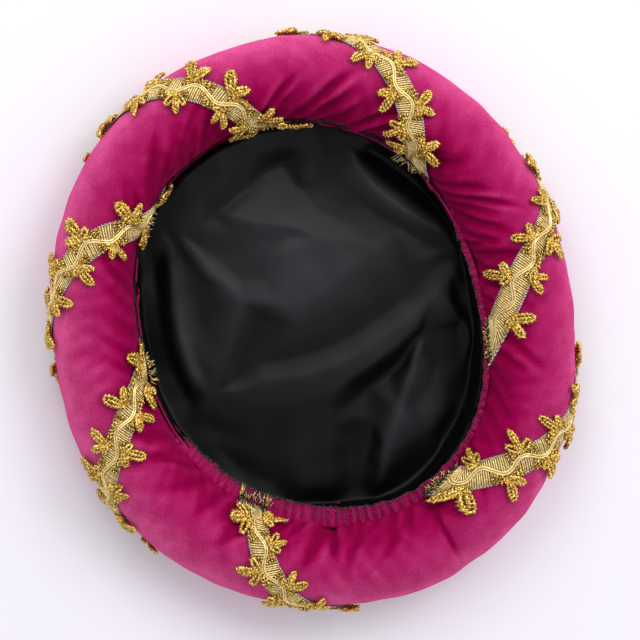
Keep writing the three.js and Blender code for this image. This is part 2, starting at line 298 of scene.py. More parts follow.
def speckle(nodes, links, scale, detail=3.0, roughness=0.55, stretch=None):
    noise = nodes.new("ShaderNodeTexNoise")
    noise.inputs["Scale"].default_value = scale
    noise.inputs["Detail"].default_value = detail
    noise.inputs["Roughness"].default_value = roughness
    source = object_place(nodes)
    if stretch is not None:
        mapping = nodes.new("ShaderNodeMapping")
        mapping.inputs["Scale"].default_value = stretch
        links.new(source, mapping.inputs["Vector"])
        source = mapping.outputs["Vector"]
    links.new(source, noise.inputs["Vector"])
    return noise.outputs["Fac"]


def tone(nodes, links, value, stops):
    ramp = nodes.new("ShaderNodeValToRGB")
    while len(ramp.color_ramp.elements) < len(stops):
        ramp.color_ramp.elements.new(0.5)
    for element, (place, colour) in zip(ramp.color_ramp.elements, stops):
        element.position = place
        element.color = (*colour, 1)
    links.new(value, ramp.inputs["Fac"])
    return ramp.outputs["Color"]


def arithmetic(nodes, links, operation, *values):
    node = nodes.new("ShaderNodeMath")
    node.operation = operation
    for socket, value in zip(node.inputs, values):
        if isinstance(value, (int, float)):
            socket.default_value = value
        else:
            links.new(value, socket)
    return node.outputs["Value"]


def bumped(nodes, links, shader, height, strength, distance):
    bump = nodes.new("ShaderNodeBump")
    bump.inputs["Strength"].default_value = strength
    bump.inputs["Distance"].default_value = distance
    links.new(height, bump.inputs["Height"])
    links.new(bump.outputs["Normal"], shader.inputs["Normal"])


# %% [markdown]
# ## Velvet
# Velvet's cut pile stands up like tiny hairs. It is dark where we look straight down into it and
# bright where we see it from the side, so the ring's rim glows pink. Sheen alone is too weak for that,
# so each point carries an attribute of painted sheen and painted shade, with a little real unevenness of the
# nap, and the colour follows it.
# Brushed patches of pile show as soft cloudy marks, and the pile itself as fine grain.

# %% Velvet finish
# Colour stops from the deepest painted shade toward the opening to the painted sheen on the rim.
SHADE_TO_SHEEN_COLOURS = [
    (0.02, (0.190, 0.0009, 0.036)),
    (0.30, (0.265, 0.0022, 0.058)),
    (0.60, (0.350, 0.0150, 0.103)),
    (0.84, (0.490, 0.0460, 0.172)),
    (1.00, (0.640, 0.0880, 0.258)),
]


BRUSHED, GRAIN = 0.5, 0.44  # of the colour scale that patches and grain can cover, half of it each way


def velvet_finish(name, sheen):
    """Velvet whose colour follows painted sheen and shade: the attribute is 0 for the deepest painted shade
    and 1 for the brightest painted sheen.
    """
    material, nodes, links, shader = new_material(name)
    lay = nodes.new("ShaderNodeAttribute")
    lay.attribute_name = "nap_and_painted_light"
    patches = speckle(nodes, links, 70, 4.0, 0.62)
    brushed = arithmetic(nodes, links, "MULTIPLY_ADD", patches, BRUSHED, -BRUSHED / 2)
    grain = speckle(nodes, links, 1500, 2.0, 0.6)
    fine = arithmetic(nodes, links, "MULTIPLY_ADD", grain, GRAIN, -GRAIN / 2)
    clouded = arithmetic(nodes, links, "ADD", lay.outputs["Fac"], brushed)
    mixed = arithmetic(nodes, links, "ADD", clouded, fine)
    links.new(tone(nodes, links, mixed, SHADE_TO_SHEEN_COLOURS), shader.inputs["Base Color"])
    shader.inputs["Roughness"].default_value = 0.9
    shader.inputs["Specular IOR Level"].default_value = 0.0
    shader.inputs["Sheen Weight"].default_value = sheen
    shader.inputs["Sheen Roughness"].default_value = 0.45
    shader.inputs["Sheen Tint"].default_value = (1.0, 0.16, 0.45, 1)
    bumped(nodes, links, shader, grain, 0.4, 0.0004)
    return material


def set_nap_and_painted_light(piece, lay):
    """Write the attribute of painted light and shade: the velvet's painted sheen and shade with its nap, or
    later the satin's painted light and shade.
    """
    attribute = piece.data.attributes.new("nap_and_painted_light", "FLOAT", "POINT")
    attribute.data.foreach_set("value", np.clip(lay, 0, 1).astype(np.float32))


VELVET_SHEEN = 0.10
velvet = velvet_finish("magenta_velvet", VELVET_SHEEN)
crown_velvet = velvet_finish("crown_velvet", VELVET_SHEEN)

# %% [markdown]
# ## The stuffed ring
# The ring is a velvet tube filled with wadding. Its cloth is longer than the seam that it is sewn
# to, so it gathers there: sharp creases start at the seam and die out over the roll, with small puffs
# between them. We start from a torus and move its points: first to the ring's own shape, then by the
# large gathers that the solid has too, and last by about seventy fine creases of uneven length.

# %% Large gathers, as in the solid
GATHER_TABLE = [  # azimuth, width in degrees, share of the depth, section angle where it dies out
    (19, 4, 0.5, 70), (38, 5, 0.7, 60), (55, 4, 0.6, 65), (75, 5, 1.0, 30), (88, 4, 0.7, 70),
    (98, 4, 0.8, 60), (110, 4, 0.7, 75), (122, 4, 0.9, 60), (136, 4, 0.6, 70), (168, 5, 0.5, 80),
    (200, 5, 0.4, 80), (228, 5, 0.5, 70), (274, 4, 0.9, 20), (301, 4, 0.8, -40), (340, 5, 0.4, 80),
]
GATHER_DEPTH, GATHER_START, GATHER_EASE = 3, 150, 0.65


def gather_depth(azimuth, section):
    wrapped = from_underside(section)
    eased = 1 - GATHER_EASE * smoothstep(wrapped, GATHER_START, 180)
    depth = np.zeros_like(azimuth)
    for place, width, share, fade in GATHER_TABLE:
        held = smoothstep(wrapped, fade, GATHER_START) * eased
        depth += GATHER_DEPTH * share * held * near(azimuth, place, width)
    return depth


# %% Fine creases from the seam
GATHERED_PLACES = [(100, 38, 0.75), (35, 26, 0.6), (262, 30, 0.3)]  # azimuth, width, how much harder
GATHERED_ANYWHERE = 0.25
CREASE_DEPTH, CREASE_LENGTH = 2.8, 42  # mm, and degrees of section over which a crease fades out
CREASE_ENDS = (58, 108)  # section angles
CREASE_DRIFTS = (-0.24, -0.04)  # degrees round the ring for each degree of section
CREASE_WIDTHS = (0.9, 1.7)  # degrees round the ring
CREASE_STEPS = (3.2, 6.6)  # degrees from one crease to the next


def fine_creases(azimuth, section, rng):
    """Creases lean round the ring, as the cloth was pulled, and end unevenly over the top."""
    wrapped = from_underside(section)
    depth = np.zeros_like(azimuth)
    place = 0.0
    while place < 359:
        harder = (share * near(place, at, reach) for at, reach, share in GATHERED_PLACES)
        strength = sum(harder, GATHERED_ANYWHERE) * rng.uniform(0.35, 1.0)
        fade, drift, width = (rng.uniform(*limits) for limits in (CREASE_ENDS, CREASE_DRIFTS, CREASE_WIDTHS))
        off = turn_between(place + drift * (165 - wrapped), azimuth) / width
        held = smoothstep(wrapped, fade, fade + CREASE_LENGTH) * (1 - 0.75 * smoothstep(wrapped, 142, 182))
        groove = 1 / (1 + off * off) ** 1.5 - 0.45 * np.exp(-((np.abs(off) - 2.1) / 1.1) ** 2)
        depth += CREASE_DEPTH * strength * held * groove
        place += rng.uniform(*CREASE_STEPS)
    return depth


# %% Single folds that stand out
SINGLE_FOLDS = [  # azimuth and section of both ends, height (minus is a groove), half width in mm
    ((79, 172), (69.5, 112), 2.2, 2.0),
    ((76.5, 170), (66, 114), -1.8, 1.6),
    ((301.5, 165), (300.5, 25), -1.5, 1.0),
    ((274.5, 168), (273.0, 100), -2.2, 1.5),
    ((50, 170), (43, 118), 1.3, 2.2),
    ((30, 168), (25, 122), 1.3, 2.2),
    ((12, 168), (6, 124), 1.0, 2.2),
    ((117, 178), (119, 112), -1.5, 1.8),
    ((128, 178), (127, 108), -1.4, 1.8),
    ((106, 178), (102, 118), 1.3, 2.0),
]
MM_ROUND, MM_OVER = 1.9, 0.38  # how long a degree is round the ring and over its tube


def single_folds(azimuth, section):
    wrapped = from_underside(section)
    total = np.zeros_like(azimuth)
    for (az_1, sec_1), (az_2, sec_2), height, width in SINGLE_FOLDS:
        x, y = turn_between(az_1, azimuth) * MM_ROUND, (wrapped - sec_1) * MM_OVER
        ex, ey = turn_between(az_1, az_2) * MM_ROUND, (sec_2 - sec_1) * MM_OVER
        t = np.clip((x * ex + y * ey) / (ex * ex + ey * ey), 0, 1)
        off = np.hypot(x - t * ex, y - t * ey) / width
        total += height * np.exp(-off * off) * smoothstep(1 - t, 0, 0.35)
    return total


# %% Make the ring
# The torus' own radii don't matter, as every point is moved. Its 256 by 30 parts are cut in three.
roll, roll_azimuth, tube_angle = new_torus("roll_velvet", 0.11, 0.021, 256, 30)
roll_section = np.degrees(tube_angle)
half, middle = tube_at(roll_azimuth)
BROAD_LUMPS, SMALL_LUMPS = 0.35, 0.12  # mm
stuffing = BROAD_LUMPS * lumps(roll_azimuth, roll_section, 16, 3, 8, RNG)
stuffing += SMALL_LUMPS * lumps(roll_azimuth, roll_section, 60, 7, 10, RNG)
creased = fine_creases(roll_azimuth, roll_section, RNG) - single_folds(roll_azimuth, roll_section)
sunk = gather_depth(roll_azimuth, roll_section) + creased - stuffing
roll_r = middle + (half - sunk) * np.cos(np.radians(roll_section))
roll_z = ROLL_MIDDLE + (HALF_HEIGHT - sunk) * np.sin(np.radians(roll_section))
move_points(roll, in_space(roll_azimuth, roll_r, np.maximum(roll_z, ROLL_UNDERSIDE)))
dressed(roll, velvet)
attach(roll, "root")
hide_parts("roll")
print("ring:", len(roll.data.polygons), "faces, deepest crease", round(float(sunk.max()), 2), "mm")

# %% The ring's painted sheen and shade
# Painted sheen on the outer side, painted shade over the top and deepest toward the opening, with painted
# shade in the creases.
lay = 1.0 - 0.45 * smoothstep(roll_section, 10, 95) - 0.47 * smoothstep(roll_section, 78, 142)
# Painted shade on the underside, and a little darker toward azimuth 35.
lay = np.where(roll_section < -90, 0.05, lay) - 0.08 * np.cos(np.radians(roll_azimuth - 35))
# Painted shade in the creases.
lay -= 0.32 * np.clip(creased, -0.8, 2.2) * smoothstep(roll_section, 30, 90)
lay += 0.05 * lumps(roll_azimuth, roll_section, 90, 9, 8, RNG) * smoothstep(roll_section, 20, 100)
# A little darker over the top round azimuth 130.
lay -= 0.13 * near(roll_azimuth, 130, 34) * smoothstep(roll_section, 35, 85)
set_nap_and_painted_light(roll, lay)
print("pile of the ring: from", round(float(lay.min()), 2), "to", round(float(lay.max()), 2))

# %% [markdown]
# ## The crown and its lining
# The crown closes the ring from below: its wall hangs from the seam and turns into the floor that the
# hat lies on. The satin lining lies inside, longer than it needs to be, so it falls in folds.
# The lower half of a sphere is a bowl with a closed pole. Its rows go from the rim to the pole, so
# each row becomes one place on the way down the wall and over the floor.


# %% A bowl from half a sphere
JUST_OVER_RIM = 0.0001


def bowl(name, segments, rings):
    """A bowl, and each point's share of the way from rim to pole and its azimuth."""
    bpy.ops.object.select_all(action="DESELECT")
    bpy.ops.mesh.primitive_uv_sphere_add(segments=segments, ring_count=2 * rings, radius=1)
    piece = bpy.context.object
    piece.name = name
    bpy.ops.object.mode_set(mode="EDIT")
    bpy.ops.mesh.select_all(action="SELECT")
    bpy.ops.mesh.bisect(plane_co=(0, 0, JUST_OVER_RIM), plane_no=(0, 0, 1), clear_outer=True)
    bpy.ops.object.mode_set(mode="OBJECT")
    sphere = points_of(piece)
    depth = np.degrees(np.arcsin(np.clip(-sphere[:, 2], 0, 1)))
    print(name, "starts with", len(sphere), "points")
    return piece, np.clip(depth / 90, 0, 1), np.degrees(np.arctan2(sphere[:, 1], sphere[:, 0]))


# %% The way down the wall
def tuck_at(azimuth):
    """0 where the seam's edge points into the opening, 1 where it hangs down behind the lining."""
    return smoothstep(-around(SEAM_TABLE, "lean", azimuth), 25, 70)


def roll_inside(azimuth, z):
    """Radius of the ring's inner side at a height."""
    half, middle = tube_at(azimuth)
    return middle - half * np.sqrt(np.clip(1 - ((z - ROLL_MIDDLE) / HALF_HEIGHT) ** 2, 0.02, 1))


LAYER_APART = 1.5  # mm from the ring's side to the crown's wall, and from there to the lining's
RIM_INWARD, RIM_DOWN = 0.2, 1.2  # mm from the seam's root to the cloths' rim


def wall_point(azimuth, t, inset, corner):
    """Radius and height of a cloth wall, t of the way from the seam to the floor.

    The inset is how far the cloth lies inside the crown's outside: more for the lining.
    """
    root_r, root_z = seam_edge_at(azimuth)[:2]
    tuck, is_lining = tuck_at(azimuth), inset > CROWN_THICK
    pleat = PLEAT_DEPTH * (0.5 - 0.5 * np.cos(np.radians(PLEAT_COUNT * azimuth)))
    half, middle = tube_at(azimuth)
    rim_r = root_r - RIM_INWARD - 0.9 * tuck
    rim_z = root_z - RIM_DOWN - 0.3 * (inset - 1) + 0.8 * tuck * is_lining
    side, foot = middle - half - GAP - pleat - inset, middle - half - GAP - corner
    r = (1 - t) ** 2 * rim_r + 2 * t * (1 - t) * side + t * t * foot
    z = (1 - t) ** 2 * rim_z + (2 * t * (1 - t) + t * t) * inset
    return np.minimum(r, roll_inside(azimuth, z) - LAYER_APART - LAYER_APART * is_lining), z, foot


# %% A bowl's points
WALL_SHARE = 0.24  # of a bowl's rows, from the rim


def bowl_points(share, azimuth, inset, corner):
    r, z, foot = wall_point(azimuth, np.clip(share / WALL_SHARE, 0, 1), inset, corner)
    floor = share > WALL_SHARE
    r = np.where(floor, foot * (1 - (share - WALL_SHARE) / (1 - WALL_SHARE)), r)
    return np.maximum(r, 0), np.where(floor, inset, z)


# %% Folds of the lining
# Each row is one ridge or hollow, by its points in order: x and y in mm from the ring's middle, and the
# height in mm over where the satin would lie flat. Rows that meet share a point.
FOLD_LINES = {
    "left ridge": [(-77, 54, 12), (-73, 37, 11.5), (-71, 21, 11.5), (-70, 6, 11), (-67, -9, 11),
                   (-62, -26, 10.5), (-53, -37, 9.8)],
    "its right foot": [(-68, 29, 9.3), (-64, 17, 8.6), (-63, 5, 8.3), (-61, -10, 8.3), (-57, -24, 8.4)],
    "left hollow": [(-80, 26, 4), (-78, 7, 3.4), (-75, -11, 3.2), (-69, -28, 3), (-63, -40, 3.6)],
    "dark wedge": [(-74, 46, 10.6), (-67, 34, 8.8), (-58, 20, 8.6), (-50, 7, 9.4)],
    "upper ridge": [(-77, 54, 12), (-69, 44, 12.8), (-61, 34, 13.6), (-53, 24, 14.2), (-43, 16, 14.8),
                    (-38, 10, 14.4), (-30, 10, 15.2), (-19, 9, 15.9), (-8, 10, 16), (4, 16, 15.4),
                    (18, 26, 14), (30, 36, 12.2), (42, 42, 10.6)],
    "its upper foot": [(-64, 42, 11.2), (-55, 35, 11.3), (-45, 27, 11.6), (-36, 20, 12.4)],
    "short arm": [(-38, 10, 14.4), (-41, -1, 12.8), (-44, -14, 11.8), (-48, -25, 10.9), (-53, -37, 9.8)],
    "its foot": [(-28, 1, 8.8), (-33, -8, 8.2), (-37, -18, 8.2), (-41, -31, 8.8)],
    "inside the arm": [(-57, 3, 7), (-54, -8, 8.4), (-53, -22, 10.2)],
    "long foot": [(-41, -31, 8.8), (-25, -21, 10), (-5, -17, 10.4), (12, -11, 10.4), (28, -2, 10.4),
                  (42, 9, 10.2), (54, 20, 9.8), (65, 30, 9.6)],
    "long ridge": [(-53, -37, 9.8), (-41, -35, 11.5), (-27, -30, 13), (-6, -28, 14.2), (14, -21, 14.6),
                   (32, -11, 14.8), (46, -1, 14.4), (58, 10, 13.2), (68, 22, 11.5)],
    "middle panel": [(-8, -4, 12.4), (17, 8, 12.2), (42, 24, 10.8)],
    "band edge": [(-47, -39, 9.4), (-29, -42, 11.6), (-7, -40, 12.8), (13, -32, 13.6), (28, -22, 13.9),
                  (41, -12, 13.8), (51, -4, 13.2)],
    "dark hollow": [(16, -44, 6), (28, -35, 4), (38, -27, 4), (46, -19, 5), (52, -10, 7)],
    "left front hollow": [(-64, -51, 5), (-51, -54, 5.6), (-37, -59, 5.8)],
    "left front rise": [(-59, -46, 6.4), (-46, -48, 8.4), (-29, -51, 9.2)],
    "left front panel": [(-49, -63, 6), (-32, -67, 6.4), (-37, -75, 4.5)],
    "front ridge": [(-8, -48, 10.6), (-9, -62, 9.8), (-9, -74, 9), (-7, -86, 8.2)],
    "its left foot": [(-17, -55, 7.6), (-20, -72, 6.6), (-21, -83, 6)],
    "its right edge": [(7, -43, 10), (8, -54, 8.2), (8, -69, 7.2), (8, -86, 6.6)],
    "grey patch": [(19, -50, 7.2), (29, -51, 6.4)],
    "front valley": [(19, -60, 3.4), (19, -70, 2.6), (18, -86, 2.4)],
    "right ridge": [(54, -6, 9), (50, -16, 11.6), (47, -29, 13.6), (42, -45, 14.8), (35, -65, 14.6),
                    (33, -82, 12)],
    "its outer edge": [(54, -6, 9), (62, -21, 6.6), (68, -31, 6), (64, -50, 6.4), (57, -60, 8),
                       (46, -72, 9), (37, -84, 9)],
    "leaf crease": [(58, -33, 7.4), (51, -43, 9.6)],
    "valley by it": [(29, -61, 5), (26, -70, 4.4), (24, -82, 4)],
    "right hollow": [(72, 10, 7), (74, -5, 6.5), (75, -25, 5.5), (73, -42, 4.5), (65, -62, 4)],
    "small right ridge": [(68, 10, 11.4), (73, 1, 10.8), (78, -10, 10)],
    "back right ridge": [(17, 84, 10.8), (22, 73, 12), (30, 64, 12.8), (41, 56, 13), (52, 49, 12.6),
                         (66, 42, 11)],
    "its bright foot": [(21, 85, 9), (27, 76, 9.4), (35, 68, 9.6), (46, 61, 9.6), (56, 54, 9.4),
                        (68, 48, 8.8)],
    "back right hollow": [(29, 84, 3), (40, 76, 2), (51, 68, 2), (61, 60, 2.5), (67, 54, 4)],
    "its front foot": [(12, 69, 8.6), (26, 58, 8.8), (38, 50, 9), (49, 43, 9.2), (61, 36, 9.2)],
    "pinch": [(72, 34, 11), (62, 33, 10.6), (48, 29, 11)],
    "back ridge": [(-5, 97, 11), (-3, 84, 9.8), (-5, 71, 8)],
    "back ridge foot": [(4, 99, 8.6), (5, 84, 7.8), (-1, 67, 6.8)],
    "star": [(-41, 52, 14.2), (-28, 64, 9), (-15, 78, 2.6), (-8, 67, 4.6), (2, 54, 8.4),
             (13, 41, 12.4), (1, 42, 13), (-7, 45, 13.2), (-29, 48, 14.4), (-41, 52, 14.2)],
    "tack": [(-7, 45, 13.2), (-12, 40, 12.4), (-16, 34, 14.4)],
    "tack right": [(-7, 45, 13.2), (-10, 43, 11.4), (-15, 40, 12)],
    "below the tack": [(-23, 32, 12.6), (-15, 16, 16)],
    "star left": [(-57, 46, 12), (-41, 44, 12.2), (-29, 41, 12.4)],
    "left panel": [(-42, 34, 11.2), (-27, 22, 12.2)],
    "outside the star": [(-60, 62, 14.5), (-45, 74, 14.5), (-30, 83, 13), (-15, 88, 11.6)],
    "outside the star low": [(-50, 54, 10.4), (-36, 64, 8), (-21, 76, 4.4)],
    "right of the star": [(7, 59, 8.2), (17, 47, 10)],
}


# %% Join the points
SAME_POINT = 1.5  # mm


def fold_points():
    """The points of all folds, their heights, and the pairs that a ridge or hollow links."""
    points, heights, links = [], [], []
    for line in FOLD_LINES.values():
        previous = None
        for x, y, h in line:
            close = [i for i, p in enumerate(points) if math.hypot(p[0] - x, p[1] - y) < SAME_POINT]
            here = close[0] if close else len(points)
            if not close:
                points.append((x, y))
                heights.append(h)
            if previous is not None and previous != here:
                links.append((previous, here))
            previous = here
    return points, heights, links


# %% Rim of the folds
RIM_RISE, RIM_SLANT = 10.0, 2.5  # the folds' height at the rim, and how much higher it is at the back
RIM_HOLLOWS = [  # azimuth, width in degrees, depth
    (188, 26, 10), (115, 28, -4), (50, 15, 6), (277, 9, 6), (335, 28, 4), (232, 22, 2),
]


def rim_points():
    points, heights = [], []
    for azimuth in range(0, 360, 12):
        half, middle = tube_at(float(azimuth))
        r, angle = middle - half - 2, math.radians(azimuth)
        points.append((r * math.cos(angle), r * math.sin(angle)))
        dips = sum(depth * float(near(azimuth, at, width)) for at, width, depth in RIM_HOLLOWS)
        heights.append(RIM_RISE + RIM_SLANT * math.cos(math.radians(azimuth - 120)) - dips)
    return points, heights


# %% Flat facets between the points
def facets():
    """Corners of the triangles between all points, the corners' heights, and the triangles."""
    points, heights, links = fold_points()
    rim, rim_heights = rim_points()
    points, heights = points + rim, heights + rim_heights
    vectors = [Vector(p) for p in points]
    corners, _, faces, origins, _, _ = geometry.delaunay_2d_cdt(vectors, links, [], 0, 1e-6)
    level = []
    for place, origin in zip(corners, origins):
        if origin:
            level.append(heights[origin[0]])
        else:
            (d1, h1), (d2, h2) = sorted((math.dist(place, p), h) for p, h in zip(points, heights))[:2]
            level.append((h1 * d2 + h2 * d1) / (d1 + d2))
    return corners, level, faces


# %% Height map of the folds
def sharp_map(step, reach):
    """Heights of the facets on a square map."""
    made, level, faces = facets()
    ticks = np.arange(-reach, reach + step, step)
    gx, gy = np.meshgrid(ticks, ticks)
    field = np.full(gx.shape, RIM_RISE)
    for a, b, c in faces:
        (ax, ay), (bx, by), (cx, cy) = made[a], made[b], made[c]
        area = (bx - ax) * (cy - ay) - (cx - ax) * (by - ay)
        if abs(area) < 1e-9:
            continue
        u = ((gx - ax) * (cy - ay) - (cx - ax) * (gy - ay)) / area
        v = ((bx - ax) * (gy - ay) - (gx - ax) * (by - ay)) / area
        inside = (u >= -1e-6) & (v >= -1e-6) & (u + v <= 1 + 1e-6)
        field[inside] = (level[a] + u * (level[b] - level[a]) + v * (level[c] - level[a]))[inside]
    return ticks, field


def softened(field, step, soft):
    """The map with each place averaged over about soft mm around it."""
    reach_steps = int(3 * soft / step)
    kernel = np.exp(-0.5 * (np.arange(-reach_steps, reach_steps + 1) * step / soft) ** 2)
    kernel /= kernel.sum()
    for axis in (0, 1):
        field = np.apply_along_axis(lambda row: np.convolve(row, kernel, mode="same"), axis, field)
    return field


def read_map(ticks, field, x, y):
    step = ticks[1] - ticks[0]
    fx = np.clip((x - ticks[0]) / step, 0, len(ticks) - 1.001)
    fy = np.clip((y - ticks[0]) / step, 0, len(ticks) - 1.001)
    ix, iy = fx.astype(int), fy.astype(int)
    tx, ty = fx - ix, fy - iy
    return ((field[iy, ix] * (1 - tx) + field[iy, ix + 1] * tx) * (1 - ty)
            + (field[iy + 1, ix] * (1 - tx) + field[iy + 1, ix + 1] * tx) * ty)


MAP_STEP, MAP_REACH = 0.75, 120
map_ticks, sharp_folds = sharp_map(MAP_STEP, MAP_REACH)
crisp_folds, soft_folds, mean_folds = (softened(sharp_folds, MAP_STEP, soft) for soft in (1.0, 1.25, 11))
print("fold map:", crisp_folds.shape, "highest", round(float(crisp_folds.max()), 1), "mm")

# %% [markdown]
# ## Satin
# Satin shines softly along its smooth floats, which a noise drawn out one way stands for. Black cloth
# sends back so little light that ridges and hollows would look alike, so each point again carries the
# attribute of painted light and shade: painted light on a ridge, and painted shade in a hollow and down the
# wall.

# %% Satin finish
# Colour stops from painted shade to painted light on the black satin.
SATIN_SHADE_TO_LIGHT = [
    (0.10, (0.0005, 0.0006, 0.0007)),
    (0.35, (0.0027, 0.0030, 0.0034)),
    (0.65, (0.0125, 0.0136, 0.0150)),
    (1.00, (0.0330, 0.0350, 0.0380)),
]
satin, nodes, links, shader = new_material("black_satin")
floats = speckle(nodes, links, 1300, 2.0, 0.6, (1.0, 0.35, 0.1))
# The painted light and shade, with a faint cloudy tone added.
painted_light_node = nodes.new("ShaderNodeAttribute")
painted_light_node.attribute_name = "nap_and_painted_light"
cloud = arithmetic(nodes, links, "MULTIPLY", speckle(nodes, links, 30, 3.0), 0.1)
painted_light_and_cloud = arithmetic(nodes, links, "ADD", painted_light_node.outputs["Fac"], cloud)
links.new(tone(nodes, links, painted_light_and_cloud, SATIN_SHADE_TO_LIGHT), shader.inputs["Base Color"])
shader.inputs["Roughness"].default_value = 0.48
shader.inputs["Specular IOR Level"].default_value = 0.16
bumped(nodes, links, shader, floats, 0.06, 0.0002)

# %% Start the lining
LINING_THICK, LINING_CORNER, CORNER_EASE = 0.6, 4.5, 1.5
lining_inset = CROWN_THICK + GAP + 1.0
lining, lining_share, lining_azimuth = bowl("lining_satin", 280, 94)
lining_r, lining_z = bowl_points(lining_share, lining_azimuth, lining_inset, LINING_CORNER)
lining_x = lining_r * np.cos(np.radians(lining_azimuth))
lining_y = lining_r * np.sin(np.radians(lining_azimuth))

# %% Lay the folds into it
# The folds by the star are the sharpest. Where a fold meets the wall, the higher one counts, eased.
star_near = np.exp(-(((lining_x + 12) / 34) ** 2 + ((lining_y - 46) / 30) ** 2) ** 2)
fold = (star_near * read_map(map_ticks, crisp_folds, lining_x, lining_y)
        + (1 - star_near) * read_map(map_ticks, soft_folds, lining_x, lining_y))
long_ripple = 0.12 * np.sin(lining_x * 0.31 + lining_y * 0.12 + 1.0)
cross_ripple = 0.1 * np.sin(lining_y * 0.36 - lining_x * 0.1)
above = lining_z - (lining_inset + fold + (long_ripple + cross_ripple))
lining_z = lining_z - above + 0.5 * (above + np.sqrt(above * above + CORNER_EASE ** 2))
move_points(lining, in_space(lining_azimuth, lining_r, lining_z))

# %% The satin's painted light and shade
PAINTED_LIGHT_PLACES = [  # x and y, reach both ways, all in mm, then how much painted light, or painted shade with a minus
    (-10, 32, 48, 42, 0.46),  # the broad middle
    (60, -44, 13, 23, 0.52),  # the leaf on the right
    (-64, -8, 13, 30, 0.24),  # the ridge on the left
    (-82, -2, 12, 40, -0.30),  # the hollow by the left wall
    (22, -68, 15, 20, -0.30),  # the valley in front
    (34, -32, 18, 11, -0.30),  # the hollow before the long ridge
]
raised = fold - read_map(map_ticks, mean_folds, lining_x, lining_y)
# Painted light on the ridges, painted shade in the hollows and near the wall.
lit = 0.21 + raised * (1 - 0.8 * star_near) / 9.5 - 0.25 * (1 - smoothstep(lining_share, 0.26, 0.40))
for x, y, reach_x, reach_y, strength in PAINTED_LIGHT_PLACES:
    lit += strength * np.exp(-((lining_x - x) / reach_x) ** 2 - ((lining_y - y) / reach_y) ** 2)
set_nap_and_painted_light(lining, lit)
print("satin's lightness: from", round(float(lit.min()), 2), "to", round(float(lit.max()), 2))

# %% Finish the lining
apply_modifier(lining, "SOLIDIFY", thickness=LINING_THICK * MM, offset=1.0)
dressed(lining, satin)
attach(lining, "root")
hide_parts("lining")

# %% Make the crown
CROWN_CLOTH, DIMPLE_DEPTH, DEEPEST_DIMPLE = 1.2, 0.25, 0.3
crown, crown_share, crown_azimuth = bowl("crown_cloth", 180, 32)
crown_r, crown_z = bowl_points(crown_share, crown_azimuth, CROWN_THICK, CROWN_CORNER)
dimple = DIMPLE_DEPTH * lumps(crown_azimuth, crown_share * 180, 24, 3, 8, RNG)
dimple = dimple * np.sin(np.pi * np.clip(crown_share, 0, 1))
crown_z = np.maximum(crown_z + np.clip(dimple, -DEEPEST_DIMPLE, DEEPEST_DIMPLE), CROWN_CLOTH)
move_points(crown, in_space(crown_azimuth, crown_r, crown_z))
apply_modifier(crown, "SOLIDIFY", thickness=CROWN_CLOTH * MM, offset=1.0)
dressed(crown, crown_velvet)
set_nap_and_painted_light(crown, np.full(len(crown.data.vertices), 0.5))
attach(crown, "root")
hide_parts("crown")

# %% [markdown]
# ## Threads and yarns
# A thread is a thin tube along a path. The frame at each point is carried on from the one before, so
# the tube never twists. Yarns, stitches, cords and frayed ends all use this one maker. Each tube is
# a few sides round, because the real thing is about a millimetre thick at most.

# %% Tube maker
class Strands:
    """Gathers tubes, each with the number of its material."""

    def __init__(self):
        self.points, self.faces, self.kinds, self.count = [], [], [], 0

    def add(self, points, faces, kind):
        self.points.append(np.asarray(points, float))
        self.faces.extend([[i + self.count for i in face] for face in faces])
        self.kinds.extend([kind] * len(faces))
        self.count += len(points)

    def all_points(self):
        return np.concatenate(self.points)


def tube(path, radius, sides):
    """Points and faces of a closed tube along a path."""
    path = np.asarray(path, float)
    steps = np.diff(path, axis=0)
    steps /= np.maximum(np.linalg.norm(steps, axis=1, keepdims=True), 1e-9)
    tangents = np.concatenate([steps[:1], steps[:-1] + steps[1:], steps[-1:]])
    tangents /= np.maximum(np.linalg.norm(tangents, axis=1, keepdims=True), 1e-9)
    side = np.cross(tangents[0], (0, 0, 1))
    if np.linalg.norm(side) < 1e-3:
        side = np.cross(tangents[0], (1, 0, 0))
    angles = np.arange(sides) * 2 * math.pi / sides
    radii = np.broadcast_to(radius, len(path))
    rings = []
    for point, tangent, size in zip(path, tangents, radii):
        side = side - tangent * np.dot(side, tangent)
        side /= max(np.linalg.norm(side), 1e-9)
        other = np.cross(tangent, side)
        rings.append(point + size * (np.outer(np.cos(angles), side) + np.outer(np.sin(angles), other)))
    faces = []
    for here in range(0, (len(path) - 1) * sides, sides):
        for j in range(sides):
            following = (j + 1) % sides
            faces.append([here + j, here + following, here + sides + following, here + sides + j])
    faces.append(list(range(sides))[::-1])
    faces.append([(len(path) - 1) * sides + j for j in range(sides)])
    return np.concatenate(rings), faces


def twisted(path, spread, pitch, per_turn, phase=0.0):
    """The path of one strand that winds round a path."""
    path = np.asarray(path, float)
    lengths = np.concatenate([[0], np.cumsum(np.linalg.norm(np.diff(path, axis=0), axis=1))])
    count = max(int(lengths[-1] / pitch * per_turn), 4)
    places = np.linspace(0, lengths[-1], count + 1)
    line = np.stack([np.interp(places, lengths, path[:, k]) for k in range(3)], axis=1)
    tangents = np.gradient(line, axis=0)
    tangents /= np.maximum(np.linalg.norm(tangents, axis=1, keepdims=True), 1e-9)
    side = np.cross(tangents, (0, 0, 1.0))
    side /= np.maximum(np.linalg.norm(side, axis=1, keepdims=True), 1e-9)
    other = np.cross(tangents, side)
    turn = places / pitch * 2 * math.pi + phase
    return line + spread * (np.cos(turn)[:, None] * side + np.sin(turn)[:, None] * other)


# %% [markdown]
# ## Finishes of the trims
# The braid is woven from pale gold yarn, with greyer metal thread along its edges. Two smooth bright
# cords wave along it. The leaf sprays are wound from metallic gimp, whose coils sparkle: each coil
# has a bright spot and a dark gap beside it. A fine bump breaks the shine up into glints.


